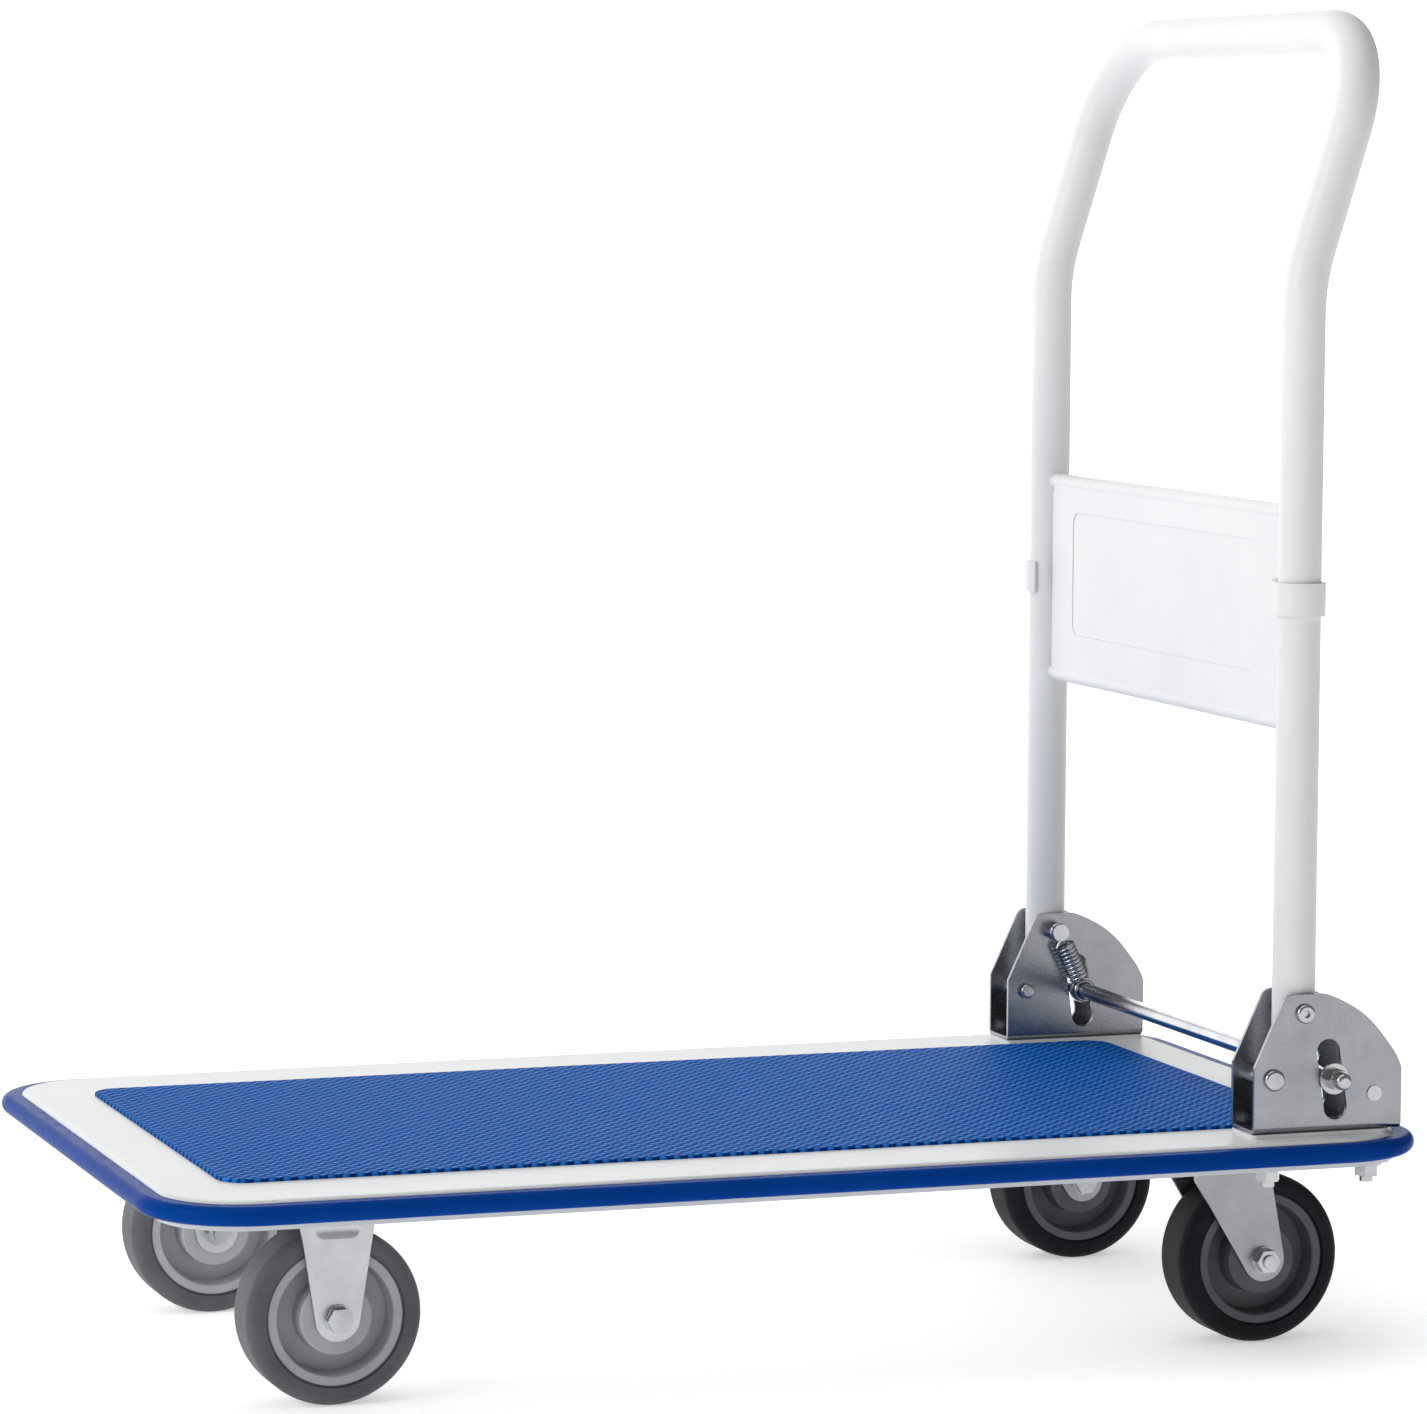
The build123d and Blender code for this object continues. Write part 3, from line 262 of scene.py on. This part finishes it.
def zinc(name, dark, light, low_rough, high_rough, lines, edge=0.0005):
    """Zinc plate: soft cloudy spangle, rolling lines along one axis, dulled spots."""
    t = Tree(name)
    cloud = t.noise(38.0, 4.0, 0.6)
    patch = t.noise(14.0, 3.0, 0.55)
    roll = t.noise(420.0, 3.0, 0.6, stretch=lines)
    spots = t.noise(170.0, 3.0, 0.55)
    color = t.ramp(cloud, [(0.30, dark), (0.70, light)])
    color = t.mix(t.span(spots, 0.0, 0.35, 0.6, 0.78), color, dark)
    color = t.mix(t.span(patch, 0.0, 0.4, 0.45, 0.75), color, dark)
    rough = t.math("ADD", t.span(cloud, low_rough, high_rough), t.span(roll, -0.04, 0.05))
    normal = t.bump(roll, 0.12, 0.0002, t.rounded(edge))
    return t.finish(color, rough, normal, Metallic=1.0)


def rubber(name, dark, light, rough_low, shine=0.3):
    """Solid tyre rubber: dusty bloom, moulding grain and faint scuffs."""
    t = Tree(name)
    bloom = t.noise(26.0, 4.0, 0.65)
    grain = t.noise(1100.0, 2.0, 0.5)
    scuff = t.noise(90.0, 5.0, 0.7, stretch=(1.0, 3.0, 1.0))
    color = t.ramp(bloom, [(0.3, dark), (0.75, light)])
    color = t.mix(t.span(scuff, 0.0, 0.4, 0.56, 0.8), color, light)
    rough = t.math("ADD", t.span(bloom, rough_low, rough_low + 0.14), t.span(scuff, -0.04, 0.05))
    normal = t.bump(grain, 0.22, 0.0004)
    normal = t.bump(scuff, 0.10, 0.0008, normal)
    return t.finish(color, rough, normal, Specular_IOR_Level=shine)


def moulded(name, dark, light, rough_low):
    """Moulded wheel plastic: mould sheen, weld clouds and fine matte texture."""
    t = Tree(name)
    cloud = t.noise(30.0, 3.0, 0.6)
    grain = t.noise(1500.0, 2.0, 0.5)
    rub = t.noise(140.0, 4.0, 0.6)
    color = t.ramp(cloud, [(0.3, dark), (0.7, light)])
    rough = t.math("ADD", t.span(cloud, rough_low, rough_low + 0.1), t.span(rub, -0.05, 0.06))
    normal = t.bump(grain, 0.12, 0.0003, t.rounded(0.0007))
    return t.finish(color, rough, normal, Specular_IOR_Level=0.4)


WHITE = white_coat()
MAT = mat_sheet()
BUMPER = bumper_vinyl()
ZINC_SHEET = zinc("zinc_sheet_satin", rgb(142, 144, 148), rgb(162, 164, 169), 0.22, 0.32, UP_LINES)
ZINC_PART = zinc("zinc_hardware", rgb(160, 162, 165), rgb(196, 198, 200), 0.18, 0.28, TURNED_LINES, 0.0004)
ROD_STEEL = zinc("rod_steel", rgb(172, 174, 177), rgb(204, 206, 208), 0.14, 0.22, ROD_LINES)
SPRING_STEEL = zinc("spring_steel", rgb(160, 162, 166), rgb(200, 202, 206), 0.14, 0.22, WIRE_LINES, 0.0002)
CASTOR_ZINC = zinc("zinc_castor_sheet", rgb(184, 186, 189), rgb(206, 208, 211), 0.30, 0.40, UP_LINES)
FORK_ZINC = zinc("zinc_fork_sheet", rgb(150, 152, 156), rgb(170, 172, 176), 0.30, 0.40, UP_LINES)
TYRE_GREY = rubber("tyre_rubber_grey", rgb(76, 78, 82), rgb(96, 98, 103), 0.50)
TYRE_DARK = rubber("tyre_rubber_dark", rgb(16, 17, 22), rgb(30, 31, 38), 0.46, 0.12)
RIM_GREY = moulded("rim_plastic_grey", rgb(158, 160, 165), rgb(172, 174, 179), 0.42)
RIM_DARK = moulded("rim_plastic_dark", rgb(70, 72, 78), rgb(86, 88, 94), 0.42)
BUSH = moulded("bush_plastic", rgb(70, 72, 76), rgb(88, 90, 94), 0.38)

BY_SLOT = {
    "white_paint": WHITE,
    "mat": MAT,
    "bumper": BUMPER,
    "zinc_sheet": ZINC_SHEET,
    "zinc_hardware": ZINC_PART,
    "rod_steel": ROD_STEEL,
    "spring_steel": SPRING_STEEL,
    "tyre": TYRE_GREY,
    "wheel_plastic": RIM_GREY,
    "bush_plastic": BUSH,
}
BY_NAME = {
    "swivel_tyre": TYRE_DARK,
    "swivel_rim": RIM_DARK,
    "swivel_fork": FORK_ZINC,
    "swivel_plate": FORK_ZINC,
    "fixed_bracket": CASTOR_ZINC,
}
SLOT_OF = {s["node"]: s["material_slot"] for s in frame["record"]["subparts"]}


def paint(obj, mat):
    obj.data.materials.clear()
    obj.data.materials.append(mat)


def look_of(name):
    """A node's material: by its slot, unless its name has one of its own."""
    for start, mat in BY_NAME.items():
        if name.startswith(start):
            return mat
    return BY_SLOT[SLOT_OF[name]]


for name, obj in NODES.items():
    paint(obj, look_of(name))


# ---- floor, light, camera ---------------------------------------------------------------
def stage_plane(name, corners, mat):
    """One flat stage surface from four corners."""
    mesh = bpy.data.meshes.new(name)
    mesh.from_pydata(corners, [], [(0, 1, 2, 3)])
    obj = bpy.data.objects.new(name, mesh)
    bpy.context.scene.collection.objects.link(obj)
    paint(obj, mat)


def floor():
    """A pale glowing floor far past the object, its glow dimmer near the object as a painted soft shade, and
    a bright screen behind that stops at the right.
    """
    t = Tree("studio_floor")
    cloud = t.noise(2.0, 2.0)
    color = t.ramp(cloud, [(0.3, (0.90, 0.90, 0.90, 1.0)), (0.7, (0.92, 0.92, 0.92, 1.0))])
    x, y, _ = t.axes()
    away = t.math("SQRT", t.math("ADD", t.math("MULTIPLY", x, x), t.math("MULTIPLY", y, y)))
    # Painted shade: the floor glows less near the object than far from it.
    glow = t.span(away, FLOOR_GLOW_NEAR, FLOOR_GLOW_FAR, FLOOR_GLOW_FROM, FLOOR_GLOW_TO)
    t.put(t.bsdf.inputs["Emission Strength"], glow)
    pale = t.finish(color, t.span(cloud, 0.75, 0.85), Specular_IOR_Level=0.1)
    t.bsdf.inputs["Emission Color"].default_value = (1.0, 1.0, 1.0, 1.0)
    t = Tree("studio_screen")
    t.bsdf.inputs["Emission Color"].default_value = (1.0, 1.0, 1.0, 1.0)
    t.bsdf.inputs["Emission Strength"].default_value = SCREEN_GLOW
    screen = t.finish((0.9, 0.9, 0.9, 1.0), 0.9)
    left, right = -FLOOR_HALF_WIDTH, FLOOR_HALF_WIDTH
    front, back = FLOOR_FRONT, SCREEN_Y
    ground = [(left, front, 0), (right, front, 0), (right, back, 0), (left, back, 0)]
    wall_foot = [(left, back, 0), (SCREEN_RIGHT, back, 0)]
    wall = wall_foot + [(SCREEN_RIGHT, back, SCREEN_TOP), (left, back, SCREEN_TOP)]
    stage_plane("studio_floor", ground, pale)
    stage_plane("studio_screen", wall, screen)


def area(name, place, aim, size, energy):
    """A rectangular softbox at a place, turned to face a point."""
    data = bpy.data.lights.new(name, "AREA")
    data.shape = "RECTANGLE"
    data.size, data.size_y = size
    data.energy = energy
    obj = bpy.data.objects.new(name, data)
    obj.location = place
    obj.rotation_euler = (Vector(aim) - Vector(place)).to_track_quat("-Z", "Y").to_euler()
    bpy.context.scene.collection.objects.link(obj)


def world(strength):
    w = bpy.data.worlds.new("studio")
    w.use_nodes = True
    back = w.node_tree.nodes["Background"]
    back.inputs["Color"].default_value = (1.0, 1.0, 1.0, 1.0)
    back.inputs["Strength"].default_value = strength
    bpy.context.scene.world = w


def camera(place, yaw, pitch, roll, lens):
    """yaw turns clockwise from +Y seen from above, pitch tips down, both in degrees."""
    data = bpy.data.cameras.new("camera")
    data.sensor_width = SENSOR_MM
    data.lens = lens
    data.clip_end = 60.0
    obj = bpy.data.objects.new("camera", data)
    a, b = math.radians(yaw), math.radians(pitch)
    ahead = Vector((math.sin(a) * math.cos(b), math.cos(a) * math.cos(b), -math.sin(b)))
    right = Vector((math.cos(a), -math.sin(a), 0.0))
    up = right.cross(ahead)
    tilt = math.radians(roll)
    right2 = right * math.cos(tilt) + up * math.sin(tilt)
    up2 = up * math.cos(tilt) - right * math.sin(tilt)
    turn = Matrix((right2, up2, -ahead)).transposed().to_4x4()
    obj.matrix_world = Matrix.Translation(Vector(place)) @ turn
    bpy.context.scene.collection.objects.link(obj)
    bpy.context.scene.camera = obj


floor()
world(SKY_GLOW)
for softbox in SOFTBOXES:
    area(*softbox)
camera(CAMERA_PLACE, CAMERA_YAW, CAMERA_PITCH, CAMERA_ROLL, CAMERA_LENS_MM)
bpy.context.scene.view_settings.view_transform = "Standard"
